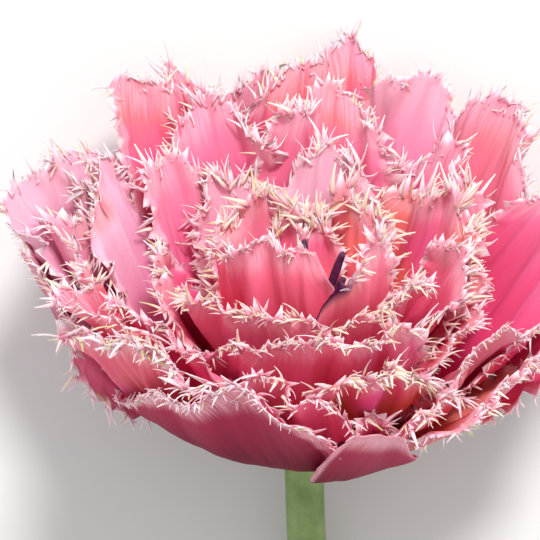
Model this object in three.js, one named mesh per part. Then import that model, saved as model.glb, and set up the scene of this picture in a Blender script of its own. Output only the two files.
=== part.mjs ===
// A double fringed tulip, cut with a short stem and lying on its side.
// Millimetres, +Z up. The stem runs towards -Y and the bloom opens towards +Y and up.
// Every petal is a curved blade of its own, set on the receptacle in nested whorls.
import * as THREE from "three";

// ---- driving dimensions ----
const petalThickness = 0.7;
const toothThickness = 0.6;
const axisRise = 35; // degrees that the bloom's axis stands above the table
const baseHeight = 25.4; // centre of the bloom's base above the table
const baseBehind = 43; // the base lies this far behind the origin, which is under the lowest petal
const pressSoftness = 0.6; // how far above the table the lowest petals begin to flatten
const flatBelow = 0.28; // what comes this close to the table lies flat on it

const stem = { radius: 4.1, sides: 14, rest: 36, drift: 9, top: 3.4, steps: 16, restSteps: 4 };
const receptacle = { sides: 20, profile: [[0, -0.6], [4.6, -0.6], [8.9, -0.1], [4.5, 12.3], [0, 12.3]] };
const pistil = {
  sides: 18, lobes: 3, lobeHeight: 0.32, lobesFrom: 22,
  profile: [[0, 12.6], [1.7, 12.6], [2.3, 14], [2.5, 18], [2.1, 21], [2.3, 22.6], [3.1, 24.4], [2.2, 25.6], [0, 25]],
};
const stamens = {
  count: 6, turn: 30, radius: 3.7, foot: 12.6, length: 20, lean: 5.4, // lean: how far the tip stands out
  filament: 0.6, anther: 1.25, antherFrom: 0.42, sides: 8, steps: 9,
};

// The bloom is a family of nested bowls. Layer 0 is the innermost, layer 6 the outermost.
// Each profile is a cubic curve of [radius, height], and the layers between are blended.
const layerCount = 6;
const innerProfile = [[5.0, 12.5], [11, 17], [14.5, 33], [10, 48]];
const outerProfile = [[9.6, 0.8], [40, -5], [47, 26], [60, 44]];

// The folds that all layers share turn a little from one layer to the next.
const folds = [
  { count: 5, turn: 0.35, phase: 0.6, height: 0.42 },
  { count: 11, turn: 0.55, phase: 2.0, height: 0.36 },
  { count: 19, turn: 0.6, phase: 4.2, height: 0.22 },
];
const foldRamp = 2.5;

// Outline of a petal: half width along its length, as a share of the widest half width.
const clawShare = 0.13;
const widestAlong = 0.64;
const tipShare = 0.74;
const shoulderDrop = 0.09; // how much lower the rim is at its two shoulders
const lobes = { count: 6, height: 0.022 }; // low rises along the rim

const profileRamp = 1.2; // how a petal leaves its ring at the base for its layer at the rim
const sublayer = 0.25; // neighbours in a whorl stand this far inside and outside the whorl's ring

// ---- petals, from the outside in ----
// ring: order of the whorl's feet on the receptacle. azimuth: degrees round the bloom's axis.
// layer: bowl that the rim reaches. half: widest half width. reach: length along the bowl.
// slant: one shoulder higher than the other. flare: outward turn of the rim.
const whorls = [
  {
    name: "outer", ring: 6, columns: 8, rows: 6,
    petals: [
      { azimuth: 95, layer: 6.4, half: 30, reach: 0.92, slant: 0, flare: 0 },
      { azimuth: 157, layer: 5.85, half: 25, reach: 0.98, slant: 0.12, flare: 0.1 },
      { azimuth: 181, layer: 6.34, half: 13, reach: 0.82, slant: -0.14, flare: -0.02 },
      { azimuth: 242, layer: 6.1, half: 29, reach: 0.85, slant: 0.25, flare: 0.09 },
      { azimuth: 288, layer: 6.6, half: 13, reach: 0.74, slant: -0.28, flare: -0.1 },
      { azimuth: 327, layer: 6.55, half: 16, reach: 0.66, slant: 0.06, flare: 0.15 },
      { azimuth: 11, layer: 7, half: 25, reach: 0.84, slant: 0.02, flare: 0 },
      { azimuth: 43, layer: 6.05, half: 19, reach: 0.96, slant: 0.01, flare: 0.02 },
    ],
  },
  {
    name: "second", ring: 5, columns: 8, rows: 6,
    petals: [
      { azimuth: 234, layer: 5.39, half: 26, reach: 0.94, slant: 0, flare: 0.21 },
      { azimuth: 271, layer: 4.8, half: 16, reach: 0.8, slant: -0.15, flare: 0.12 },
      { azimuth: 306, layer: 5.33, half: 13, reach: 0.59, slant: 0.03, flare: 0.25 },
      { azimuth: 333, layer: 4.85, half: 9, reach: 0.7, slant: 0.16, flare: 0 },
      { azimuth: 6, layer: 5.4, half: 20, reach: 0.94, slant: 0.01, flare: 0.3 },
      { azimuth: 61, layer: 4.82, half: 13, reach: 1.02, slant: 0.06, flare: 0.14 },
      { azimuth: 85, layer: 5.31, half: 20, reach: 1.05, slant: -0.01, flare: 0.08 },
      { azimuth: 122, layer: 4.79, half: 16, reach: 1.08, slant: 0.1, flare: 0.03 },
      { azimuth: 168, layer: 5.23, half: 17, reach: 0.91, slant: -0.03, flare: -0.08 },
      { azimuth: 206, layer: 4.71, half: 19, reach: 0.94, slant: 0.06, flare: -0.1 },
    ],
  },
  {
    name: "third", ring: 4, columns: 8, rows: 6,
    petals: [
      { azimuth: 161, layer: 4.44, half: 13, reach: 0.98, slant: -0.04, flare: 0.05 },
      { azimuth: 223, layer: 3.82, half: 12, reach: 0.87, slant: -0.13, flare: 0.15 },
      { azimuth: 291, layer: 4.2, half: 14, reach: 0.81, slant: -0.11, flare: 0.07 },
      { azimuth: 350, layer: 3.71, half: 22, reach: 0.64, slant: 0.1, flare: 0.17 },
      { azimuth: 46, layer: 4.2, half: 17, reach: 0.86, slant: -0.06, flare: 0.05 },
      { azimuth: 83, layer: 3.8, half: 14, reach: 1, slant: 0.01, flare: 0.05 },
      { azimuth: 116, layer: 4.2, half: 12, reach: 0.98, slant: 0.02, flare: 0.05 },
      { azimuth: 134, layer: 3.75, half: 10, reach: 0.87, slant: 0.06, flare: 0.05 },
    ],
  },
  {
    name: "fourth", ring: 3, columns: 8, rows: 6,
    petals: [
      { azimuth: 270, layer: 3.2, half: 27, reach: 0.86, slant: 0.1, flare: 0.06 },
      { azimuth: 359, layer: 2.62, half: 10, reach: 0.77, slant: 0.05, flare: 0.15 },
      { azimuth: 34, layer: 3.21, half: 22, reach: 0.81, slant: -0.09, flare: 0.09 },
      { azimuth: 81, layer: 2.7, half: 10, reach: 0.84, slant: -0.02, flare: 0.07 },
      { azimuth: 119, layer: 3.2, half: 10, reach: 0.76, slant: 0.01, flare: 0.06 },
      { azimuth: 192, layer: 2.71, half: 14, reach: 0.83, slant: 0.02, flare: 0.09 },
    ],
  },
  {
    name: "fifth", ring: 2, columns: 8, rows: 5,
    petals: [
      { azimuth: 236, layer: 2.12, half: 24, reach: 0.83, slant: 0.04, flare: 0.14 },
      { azimuth: 314, layer: 1.65, half: 20, reach: 0.8, slant: -0.02, flare: 0.31 },
      { azimuth: 70, layer: 2.1, half: 12, reach: 0.69, slant: -0.07, flare: 0.05 },
      { azimuth: 115, layer: 1.6, half: 14, reach: 0.72, slant: -0.03, flare: 0.05 },
    ],
  },
  {
    name: "inner", ring: 1, columns: 7, rows: 5,
    petals: [
      { azimuth: 292, layer: 1.34, half: 13, reach: 0.92, slant: 0.23, flare: 0.02 },
      { azimuth: 233, layer: 0.9, half: 18, reach: 0.98, slant: 0.1, flare: 0.1 },
      { azimuth: 93, layer: 1.05, half: 9, reach: 0.63, slant: -0.01, flare: 0.05 },
    ],
  },
];

// ---- fringe ----
const fringe = {
  seed: 7, shortest: 2.2, longest: 5.2, // length of a tooth
  spread: 0.5, // how far a tooth leans along the margin
  lift: 0.35, // how far a tooth leans out of the blade
  startRow: 3, // the first row of a side margin that carries teeth
};

// ---- helpers ----
const radians = THREE.MathUtils.degToRad;
const lerp = THREE.MathUtils.lerp;

// A repeatable draw of numbers from 0 to 1.
function randomFrom(seed) {
  let state = seed;
  return () => {
    state = (state * 1664525 + 1013904223) % 4294967296;
    return state / 4294967296;
  };
}

function cubic(a, b, c, d, t) {
  const s = 1 - t;
  return s * s * s * a + 3 * s * s * t * b + 3 * s * t * t * c + t * t * t * d;
}

// Radius and height on the bowl of a layer, at t from its foot (0) to its rim (1).
function bowlPoint(layer, t) {
  const share = layer / layerCount;
  return [0, 1].map((k) => {
    const [a, b, c, d] = innerProfile.map((p, i) => lerp(p[k], outerProfile[i][k], share));
    return cubic(a, b, c, d, t);
  });
}

function foldedLayer(layer, azimuth, t) {
  const grow = Math.max(0, Math.min(t, 1)) ** foldRamp * (0.35 + 0.65 * (layer / layerCount));
  return folds.reduce(
    (sum, f) => sum + grow * f.height * Math.sin(f.count * azimuth + f.turn * layer + f.phase),
    layer,
  );
}

function widthShare(along) {
  if (along < widestAlong) {
    return clawShare + (1 - clawShare) * Math.sin((Math.PI / 2) * (along / widestAlong)) ** 1.5;
  }
  const past = (along - widestAlong) / (1 - widestAlong);
  return 1 - (1 - tipShare) * past ** 2.2;
}

// From the bloom's own frame (+Z along its axis) to the flower as it lies.
const rise = radians(axisRise);
function layDown(p) {
  const y = Math.sin(rise) * p.y + Math.cos(rise) * p.z - baseBehind;
  const z = baseHeight - Math.cos(rise) * p.y + Math.sin(rise) * p.z;
  return new THREE.Vector3(p.x, y, z);
}

// The table flattens what would reach below it, and keeps the order of the layers.
const lowest = petalThickness / 2;
function pressed(p) {
  const soft = pressSoftness * Math.log1p(Math.exp((p.z - lowest) / pressSoftness));
  return new THREE.Vector3(p.x, p.y, lowest + Math.max(0, soft - flatBelow));
}

// Middle surface of a petal. across runs from -1 to 1, along from 0 at the foot to 1 at the rim.
function petalPoint(petal, across, along) {
  const lobe = lobes.height * Math.sin(lobes.count * across + petal.azimuth) * along ** 3;
  const t = petal.reach * along * (1 - shoulderDrop * across ** 2 * along + petal.slant * across + lobe);
  const leave = Math.min(1, Math.max(0, t)) ** profileRamp;
  const home = lerp(petal.ring, petal.layer, leave) + petal.flare * along ** 6;
  const radius = bowlPoint(home, t)[0];
  const azimuth = radians(petal.azimuth) + (across * petal.half * widthShare(along)) / radius;
  const [r, z] = bowlPoint(foldedLayer(home, azimuth, t), t);
  return pressed(layDown(new THREE.Vector3(r * Math.cos(azimuth), r * Math.sin(azimuth), z)));
}

function petalNormal(petal, across, along) {
  const h = 0.01;
  const [low, high] = [Math.max(0, along - h), Math.min(1, along + h)];
  const du = petalPoint(petal, across + h, along).sub(petalPoint(petal, across - h, along));
  const dv = petalPoint(petal, across, high).sub(petalPoint(petal, across, low));
  return du.cross(dv).normalize();
}

function upright(normal) {
  return new THREE.Vector3(0, 0, Math.sign(normal.z));
}

// A blade is a list of middle points with normals, and triangles that both faces share.
class Blade {
  constructor() {
    this.points = [];
    this.normals = [];
    this.halves = [];
    this.triangles = [];
  }

  add(point, normal, half) {
    this.points.push(point);
    this.normals.push(normal);
    this.halves.push(half);
    return this.points.length - 1;
  }

  // Both faces and the wall round them, as one closed geometry.
  geometry() {
    const count = this.points.length;
    const vertices = [];
    for (const side of [1, -1]) {
      this.points.forEach((p, i) => {
        const normal = p.z > lowest ? this.normals[i] : upright(this.normals[i]);
        const q = p.clone().addScaledVector(normal, side * this.halves[i]);
        vertices.push(q.x, q.y, Math.max(q.z, 0));
      });
    }
    const edges = new Map();
    const index = [];
    for (const [a, b, c] of this.triangles) {
      index.push(a, b, c, a + count, c + count, b + count);
      for (const [from, to] of [[a, b], [b, c], [c, a]]) edges.set(`${from},${to}`, [from, to]);
    }
    for (const [from, to] of edges.values()) {
      if (edges.has(`${to},${from}`)) continue;
      index.push(from, from + count, to, to, from + count, to + count);
    }
    return closedGeometry(vertices, index);
  }
}

function closedGeometry(vertices, index) {
  const geometry = new THREE.BufferGeometry();
  geometry.setAttribute("position", new THREE.Float32BufferAttribute(vertices, 3));
  geometry.setIndex(index);
  geometry.computeVertexNormals();
  return geometry;
}

// A petal with a toothed fringe along its rim and the upper part of its two sides.
function petalGeometry(petal, columns, rows, draw) {
  const blade = new Blade();
  const half = petalThickness / 2;
  const at = (across, along) =>
    blade.add(petalPoint(petal, across, along), petalNormal(petal, across, along), half);
  const acrossAt = (i) => (2 * i) / columns - 1;

  const grid = [];
  for (let j = 0; j <= rows; j += 1) {
    grid.push(Array.from({ length: columns + 1 }, (_, i) => at(acrossAt(i), j / rows)));
  }
  const rimMiddles = Array.from({ length: columns }, (_, i) => at(acrossAt(i + 0.5), 1));

  for (let j = 0; j < rows; j += 1) {
    for (let i = 0; i < columns; i += 1) {
      const [a, b] = [grid[j][i], grid[j][i + 1]];
      const [d, c] = [grid[j + 1][i], grid[j + 1][i + 1]];
      if (j < rows - 1) {
        blade.triangles.push([a, b, c], [a, c, d]);
      } else {
        blade.triangles.push([a, b, rimMiddles[i]], [b, c, rimMiddles[i]], [a, rimMiddles[i], d]);
      }
    }
  }

  // One tooth on the margin from point a to point b, which has the blade on its left.
  const addTooth = (a, b, outward) => {
    const length = lerp(fringe.shortest, fringe.longest, draw());
    const lean = fringe.spread * (draw() - 0.5) * 2;
    const lift = fringe.lift * (draw() - 0.5) * 2;
    const [p, q] = [blade.points[a], blade.points[b]];
    const normal = blade.normals[a].clone().add(blade.normals[b]).normalize();
    const way = outward
      .clone()
      .addScaledVector(q.clone().sub(p).normalize(), lean)
      .addScaledVector(normal, lift)
      .normalize();
    const tip = p.clone().add(q).multiplyScalar(0.5).addScaledVector(way, length);
    tip.z = Math.max(tip.z, toothThickness / 2);
    blade.triangles.push([a, b, blade.add(tip, normal, toothThickness / 2)]);
  };
  const alongStep = (across, along) =>
    petalPoint(petal, across, along).sub(petalPoint(petal, across, along - 0.05)).normalize();
  const acrossStep = (side, along) =>
    petalPoint(petal, side, along).sub(petalPoint(petal, side * 0.9, along)).normalize();

  for (let i = columns - 1; i >= 0; i -= 1) {
    const outward = alongStep(acrossAt(i + 0.5), 1);
    addTooth(rimMiddles[i], grid[rows][i + 1], outward);
    addTooth(grid[rows][i], rimMiddles[i], outward);
  }
  for (let j = fringe.startRow; j < rows; j += 1) {
    const along = (j + 0.5) / rows;
    const right = acrossStep(1, along).addScaledVector(alongStep(1, along), 0.7).normalize();
    const left = acrossStep(-1, along).addScaledVector(alongStep(-1, along), 0.7).normalize();
    addTooth(grid[j + 1][columns], grid[j][columns], right);
    addTooth(grid[j][0], grid[j + 1][0], left);
  }
  return blade.geometry();
}

// A round tube through centres, with a radius at each, closed at both ends by a flat fan.
function tubeGeometry(centres, radii, sides) {
  const vertices = [];
  const index = [];
  centres.forEach((centre, k) => {
    const before = centres[Math.max(0, k - 1)];
    const after = centres[Math.min(centres.length - 1, k + 1)];
    const tangent = after.clone().sub(before).normalize();
    const across = tangent.clone().cross(new THREE.Vector3(0, 0, 1)).normalize();
    const up = tangent.clone().cross(across);
    for (let s = 0; s < sides; s += 1) {
      const angle = (2 * Math.PI * s) / sides;
      const p = centre
        .clone()
        .addScaledVector(across, radii[k] * Math.cos(angle))
        .addScaledVector(up, radii[k] * Math.sin(angle));
      vertices.push(p.x, p.y, Math.max(p.z, 0));
    }
  });
  for (let k = 0; k < centres.length - 1; k += 1) {
    for (let s = 0; s < sides; s += 1) {
      const [a, b] = [k * sides + s, k * sides + ((s + 1) % sides)];
      index.push(a, b, b + sides, a, b + sides, a + sides);
    }
  }
  const last = centres.length - 1;
  for (const [k, turned] of [[0, true], [last, false]]) {
    const middle = vertices.length / 3;
    vertices.push(centres[k].x, centres[k].y, centres[k].z);
    for (let s = 0; s < sides; s += 1) {
      const [a, b] = [k * sides + s, k * sides + ((s + 1) % sides)];
      index.push(middle, ...(turned ? [b, a] : [a, b]));
    }
  }
  return closedGeometry(vertices, index);
}

// A solid of revolution round the bloom's axis, from [radius, height] pairs that start and end on it.
// widen swells the radius at an angle and a height.
function turnedGeometry(profile, sides, widen = () => 1) {
  const vertices = [];
  const index = [];
  const push = (p) => vertices.push(p.x, p.y, p.z);
  const rings = profile.slice(1, -1);
  for (const [radius, height] of rings) {
    for (let s = 0; s < sides; s += 1) {
      const angle = (2 * Math.PI * s) / sides;
      const r = radius * widen(angle, height);
      push(layDown(new THREE.Vector3(r * Math.cos(angle), r * Math.sin(angle), height)));
    }
  }
  push(layDown(new THREE.Vector3(0, 0, profile[0][1])));
  push(layDown(new THREE.Vector3(0, 0, profile[profile.length - 1][1])));
  const [bottom, top] = [rings.length * sides, rings.length * sides + 1];
  for (let s = 0; s < sides; s += 1) {
    const next = (s + 1) % sides;
    const last = (rings.length - 1) * sides;
    index.push(bottom, next, s, top, last + s, last + next);
    for (let k = 0; k < rings.length - 1; k += 1) {
      const [a, b] = [k * sides + s, k * sides + next];
      index.push(a, b, b + sides, a, b + sides, a + sides);
    }
  }
  return closedGeometry(vertices, index);
}

// A stamen: a thin filament that swells into a long anther and leans out from the pistil.
function stamenGeometry(azimuth) {
  const { radius, foot, length, lean, filament, anther, antherFrom, sides, steps } = stamens;
  const centres = [];
  const radii = [];
  for (let k = 0; k <= steps; k += 1) {
    const share = k / steps;
    const r = radius + lean * share ** 1.6;
    const p = new THREE.Vector3(r * Math.cos(azimuth), r * Math.sin(azimuth), foot + length * share);
    centres.push(layDown(p));
    const along = Math.max(0, (share - antherFrom) / (1 - antherFrom));
    radii.push(filament + (anther - filament) * Math.sin(Math.PI * along) ** 0.5);
  }
  return tubeGeometry(centres, radii, sides);
}

// ---- the axis of the stem ----
// It leaves the bloom along the bloom's axis, bends down to the table and then lies along it.
function stemPath() {
  const start = layDown(new THREE.Vector3(0, 0, -0.9));
  const top = layDown(new THREE.Vector3(0, 0, -0.9 - stem.top));
  const rest = stem.radius * Math.cos(Math.PI / stem.sides); // a facet of the stem lies on the table
  const bend = (top.z - rest) / (1 - Math.cos(rise));
  const centres = [start];
  for (let k = 0; k <= stem.steps; k += 1) {
    const angle = rise - (rise * k) / stem.steps;
    const y = top.y - bend * (Math.sin(rise) - Math.sin(angle));
    const z = top.z - bend * (Math.cos(angle) - Math.cos(rise));
    centres.push(new THREE.Vector3(0, y, z));
  }
  const down = centres[centres.length - 1];
  for (let k = 1; k <= stem.restSteps; k += 1) {
    centres.push(new THREE.Vector3(0, down.y - (stem.rest * k) / stem.restSteps, rest));
  }
  const length = top.y - centres[centres.length - 1].y;
  for (const p of centres) p.x = stem.drift * Math.max(0, (top.y - p.y) / length) ** 2;
  return centres;
}

const tulip = new THREE.Group();
const colours = {
  outer: 0xc9647f, second: 0xe07795, third: 0xee7fa2, fourth: 0xf28aa8, fifth: 0xf39ab2, inner: 0xf5a8bb,
  stem: 0x7fa055, stamen: 0x2b1030, pistil: 0xb7c37a,
};
function addPart(name, geometry, color) {
  const material = new THREE.MeshStandardMaterial({ color, roughness: 0.55, metalness: 0 });
  const mesh = new THREE.Mesh(geometry, material);
  mesh.name = name;
  tulip.add(mesh);
}

const draw = randomFrom(fringe.seed);
for (const whorl of whorls) {
  whorl.petals.forEach((petal, k) => {
    const set = { ...petal, ring: whorl.ring + (k % 2 ? -sublayer : sublayer) };
    const geometry = petalGeometry(set, whorl.columns, whorl.rows, draw);
    addPart(`petal_${whorl.name}_${k + 1}`, geometry, colours[whorl.name]);
  });
}

for (let k = 0; k < stamens.count; k += 1) {
  const azimuth = radians(stamens.turn) + (2 * Math.PI * k) / stamens.count;
  addPart(`stamen_${k + 1}`, stamenGeometry(azimuth), colours.stamen);
}
const stigma = (angle, height) =>
  1 + (height > pistil.lobesFrom ? pistil.lobeHeight * Math.cos(pistil.lobes * angle) : 0);
addPart("pistil", turnedGeometry(pistil.profile, pistil.sides, stigma), colours.pistil);
addPart("receptacle", turnedGeometry(receptacle.profile, receptacle.sides), colours.stem);

const path = stemPath();
const widths = path.map((_, k) => (k === 0 ? stem.radius * 1.25 : stem.radius));
addPart("stem", tubeGeometry(path, widths, stem.sides), colours.stem);

export default tulip;
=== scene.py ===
import math
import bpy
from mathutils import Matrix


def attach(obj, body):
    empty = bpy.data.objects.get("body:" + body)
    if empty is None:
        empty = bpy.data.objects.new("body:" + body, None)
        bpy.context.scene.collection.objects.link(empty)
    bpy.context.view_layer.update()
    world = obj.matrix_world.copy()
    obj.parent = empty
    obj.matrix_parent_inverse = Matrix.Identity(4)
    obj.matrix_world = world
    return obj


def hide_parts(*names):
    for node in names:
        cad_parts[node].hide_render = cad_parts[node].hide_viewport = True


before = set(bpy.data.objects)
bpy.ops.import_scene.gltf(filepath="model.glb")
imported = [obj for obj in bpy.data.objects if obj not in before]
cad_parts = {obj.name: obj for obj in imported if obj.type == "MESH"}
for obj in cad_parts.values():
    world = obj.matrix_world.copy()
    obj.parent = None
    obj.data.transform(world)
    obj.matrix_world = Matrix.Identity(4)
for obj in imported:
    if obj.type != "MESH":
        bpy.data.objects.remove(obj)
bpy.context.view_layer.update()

from types import SimpleNamespace
import bpy
import numpy as np
from mathutils import Vector

mm = 0.001

# How the flower lies: the bloom's axis rises from the table, and the lowest petal is pressed flat on it
lying = {
    "axisRise": 35, "baseHeight": 25.4, "baseBehind": 43,
    "lowest": 0.35, "pressSoftness": 0.6, "flatBelow": 0.28,
}

# The bowls that the petals follow, each a curve of four [radius, height] points in mm
bowls = {
    "layers": 6,
    "inner": [[5.0, 12.5], [11, 17], [14.5, 33], [10, 48]],
    "outer": [[9.6, 0.8], [40, -5], [47, 26], [60, 44]],
    "ramp": 1.2,         # how late a petal leaves its foot's bowl for its own
    "flareRamp": 6,
    "sublayer": 0.25,    # a whorl's feet stand this far in and out of its ring, by turns
}

# Slow folds that all the petals share, so that they lie in each other: count, turn, phase, height
folds = {
    "ramp": 2.5, "least": 0.35,
    "waves": [(5, 0.35, 0.6, 0.42), (11, 0.55, 2.0, 0.36), (19, 0.6, 4.2, 0.22)],
}

# A petal's outline, in shares of its half width and of its length
outline = {
    "claw": 0.13, "widest": 0.64, "tip": 0.74, "clawCurve": 1.5, "tipCurve": 2.2,
    "shoulderDrop": 0.09, "lobes": 6, "lobeHeight": 0.022, "lobeRamp": 3,
}

# The ring that each whorl stands on, and azimuth, layer, half width, reach, slant and flare of its petals
whorls = {
    "outer": (6, [
        (95, 6.40, 30, 0.92, 0.00, 0.00),
        (157, 5.85, 25, 0.98, 0.12, 0.10),
        (181, 6.34, 13, 0.82, -0.14, -0.02),
        (242, 6.10, 29, 0.85, 0.25, 0.09),
        (288, 6.60, 13, 0.74, -0.28, -0.10),
        (327, 6.55, 16, 0.66, 0.06, 0.15),
        (11, 7.00, 25, 0.84, 0.02, 0.00),
        (43, 6.05, 19, 0.96, 0.01, 0.02),
    ]),
    "second": (5, [
        (234, 5.39, 26, 0.94, 0.00, 0.21),
        (271, 4.80, 16, 0.80, -0.15, 0.12),
        (306, 5.33, 13, 0.59, 0.03, 0.25),
        (333, 4.85, 9, 0.70, 0.16, 0.00),
        (6, 5.40, 20, 0.94, 0.01, 0.30),
        (61, 4.82, 13, 1.02, 0.06, 0.14),
        (85, 5.31, 20, 1.05, -0.01, 0.08),
        (122, 4.79, 16, 1.08, 0.10, 0.03),
        (168, 5.23, 17, 0.91, -0.03, -0.08),
        (206, 4.71, 19, 0.94, 0.06, -0.10),
    ]),
    "third": (4, [
        (161, 4.44, 13, 0.98, -0.04, 0.05),
        (223, 3.82, 12, 0.87, -0.13, 0.15),
        (291, 4.20, 14, 0.81, -0.11, 0.07),
        (350, 3.71, 22, 0.64, 0.10, 0.17),
        (46, 4.20, 17, 0.86, -0.06, 0.05),
        (83, 3.80, 14, 1.00, 0.01, 0.05),
        (116, 4.20, 12, 0.98, 0.02, 0.05),
        (134, 3.75, 10, 0.87, 0.06, 0.05),
    ]),
    "fourth": (3, [
        (270, 3.20, 27, 0.86, 0.10, 0.06),
        (359, 2.62, 10, 0.77, 0.05, 0.15),
        (34, 3.21, 22, 0.81, -0.09, 0.09),
        (81, 2.70, 10, 0.84, -0.02, 0.07),
        (119, 3.20, 10, 0.76, 0.01, 0.06),
        (192, 2.71, 14, 0.83, 0.02, 0.09),
    ]),
    "fifth": (2, [
        (236, 2.12, 24, 0.83, 0.04, 0.14),
        (314, 1.65, 20, 0.80, -0.02, 0.31),
        (70, 2.10, 12, 0.69, -0.07, 0.05),
        (115, 1.60, 14, 0.72, -0.03, 0.05),
    ]),
    "inner": (1, [
        (292, 1.34, 13, 0.92, 0.23, 0.02),
        (233, 0.90, 18, 0.98, 0.10, 0.10),
        (93, 1.05, 9, 0.63, -0.01, 0.05),
    ]),
}

# What a petal looks like, unless looks says otherwise. Everything is a share
usualLook = {
    # the lilac is partly the petals' own tint, partly a painted highlight and painted light; the dusky
    # foot is painted shade
    "pale": 0, "warm": 0.1, "dusk": 0,               # lilac, coral, and dusky towards the foot
    # the dark mark at the rim is a painted shadow of the seam beside it
    "stain": 0,                                      # a dark mark at the rim
    "cream": 0.3, "green": 0.02,                     # how many teeth are cream or have green tips
    "fringe": 1, "tuft": 0.1,                        # the teeth's length; how many stand below the rim
    "ruffle": 1, "billow": 1, "plain": 0,            # quick and slow waves of the rim; a smoother face
    "bareLeft": 0, "bareSide": 0, "bareRight": 0,    # stretches of the margin without teeth
}
looks = {
    "petal_outer_2": {"pale": 0.9, "dusk": 0.3, "billow": 0.4},
    "petal_outer_3": {"pale": 0.3},
    "petal_outer_4": {"warm": 0, "cream": 0.05, "fringe": 0.55,
                      "ruffle": 0.3, "billow": 0, "plain": 0.85},
    "petal_outer_5": {"warm": 0, "fringe": 0.05, "ruffle": 0, "billow": 0, "plain": 0.9},
    "petal_outer_6": {"pale": 0.2, "warm": 1, "fringe": 0.6, "billow": 0, "plain": 0.6},
    "petal_outer_8": {"pale": 0.2, "warm": 0.35},
    "petal_second_1": {"warm": 0.5, "green": 0.3, "fringe": 1.15, "ruffle": 0.35, "billow": 0},
    "petal_second_2": {"pale": 0.2, "warm": 0.3, "fringe": 0.8, "ruffle": 0.6, "billow": 0},
    "petal_second_3": {"warm": 0.4, "cream": 0.6, "billow": 0, "bareSide": 1},
    "petal_second_4": {"pale": 0.5, "warm": 0.6, "fringe": 0.4, "billow": 0},
    "petal_second_5": {"fringe": 0.8, "ruffle": 0.5, "billow": 0},
    "petal_second_6": {"pale": 0.45},
    "petal_second_8": {"warm": 0.5, "dusk": 0.35, "cream": 0.6, "ruffle": 0.7, "billow": 0.3},
    "petal_second_9": {"pale": 0.6, "dusk": 0.25},
    "petal_second_10": {"warm": 0.4, "cream": 0.6},
    "petal_third_1": {"pale": 0.95, "dusk": 0.3},
    "petal_third_2": {"fringe": 0.8, "billow": 0},
    "petal_third_3": {"warm": 1, "cream": 0.85, "green": 0.06, "fringe": 1.2, "tuft": 0.3,
                      "ruffle": 0.8, "billow": 0.5},
    "petal_third_4": {"warm": 0.5, "fringe": 0.6, "ruffle": 0.5, "billow": 0},
    "petal_third_6": {"pale": 0.15, "warm": 0.2},
    "petal_third_7": {"pale": 0.15, "warm": 0.3, "tuft": 0.25},
    "petal_third_8": {"pale": 0.25, "billow": 0.5},
    "petal_fourth_1": {"pale": 0.1, "warm": 0.2, "cream": 0.6, "ruffle": 0.5, "billow": 0},
    "petal_fourth_2": {"warm": 0.5, "fringe": 0.8},
    "petal_fourth_3": {"warm": 0.95, "cream": 0.8, "green": 0.06, "fringe": 1.2, "tuft": 0.3,
                       "billow": 0.5},
    "petal_fourth_4": {"pale": 0.95, "fringe": 1.15},
    "petal_fourth_5": {"pale": 0.6, "warm": 0.2, "tuft": 0.25},
    "petal_fourth_6": {"fringe": 0.8, "billow": 0},
    "petal_fifth_1": {"pale": 0.1, "cream": 0.6, "ruffle": 0.6, "billow": 0},
    "petal_fifth_2": {"cream": 0.75, "ruffle": 0.6, "billow": 0},
    "petal_fifth_3": {"warm": 0.9, "cream": 0.8, "green": 0.08, "fringe": 1.2, "tuft": 0.35,
                      "ruffle": 0.7},
    "petal_fifth_4": {"pale": 0.2, "warm": 0.7, "cream": 0.8, "green": 0.08, "fringe": 1.2,
                      "tuft": 0.35},
    "petal_inner_1": {"pale": 0.1, "stain": 1, "ruffle": 0.3, "billow": 0, "bareLeft": 1},
    "petal_inner_2": {"warm": 0.1, "fringe": 0.75, "ruffle": 0.4, "billow": 0, "bareRight": 1},
    "petal_inner_3": {"warm": 0.7, "cream": 0.8, "green": 0.08, "tuft": 0.35},
}

def bowlPoint(layer, t):
    share = layer / bowls["layers"]
    s = 1 - t
    weights = (s ** 3, 3 * s * s * t, 3 * s * t * t, t ** 3)
    found = []
    for k in range(2):
        corners = [a[k] + (b[k] - a[k]) * share for a, b in zip(bowls["inner"], bowls["outer"])]
        found.append(sum(w * c for w, c in zip(weights, corners)))
    return found

def foldedLayer(layer, azimuth, t):
    least = folds["least"]
    grow = np.clip(t, 0, 1) ** folds["ramp"] * (least + (1 - least) * layer / bowls["layers"])
    waves = (grow * high * np.sin(count * azimuth + turn * layer + phase)
             for count, turn, phase, high in folds["waves"])
    return layer + sum(waves)

def widthShare(along):
    claw, widest, tip = outline["claw"], outline["widest"], outline["tip"]
    below = np.sin(np.pi / 2 * np.clip(along / widest, 0, 1)) ** outline["clawCurve"]
    past = np.clip((along - widest) / (1 - widest), 0, None)
    above = past ** outline["tipCurve"]
    return np.where(along < widest, claw + (1 - claw) * below, 1 - (1 - tip) * above)

def layDown(x, y, z):
    rise = math.radians(lying["axisRise"])
    return np.stack([
        x + 0 * z,
        math.sin(rise) * y + math.cos(rise) * z - lying["baseBehind"],
        lying["baseHeight"] - math.cos(rise) * y + math.sin(rise) * z], axis=-1)

def pressed(points):
    lowest, soft = lying["lowest"], lying["pressSoftness"]
    z = soft * np.logaddexp(0, (points[..., 2] - lowest) / soft)
    points[..., 2] = lowest + np.maximum(0, z - lying["flatBelow"])
    return points

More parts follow.
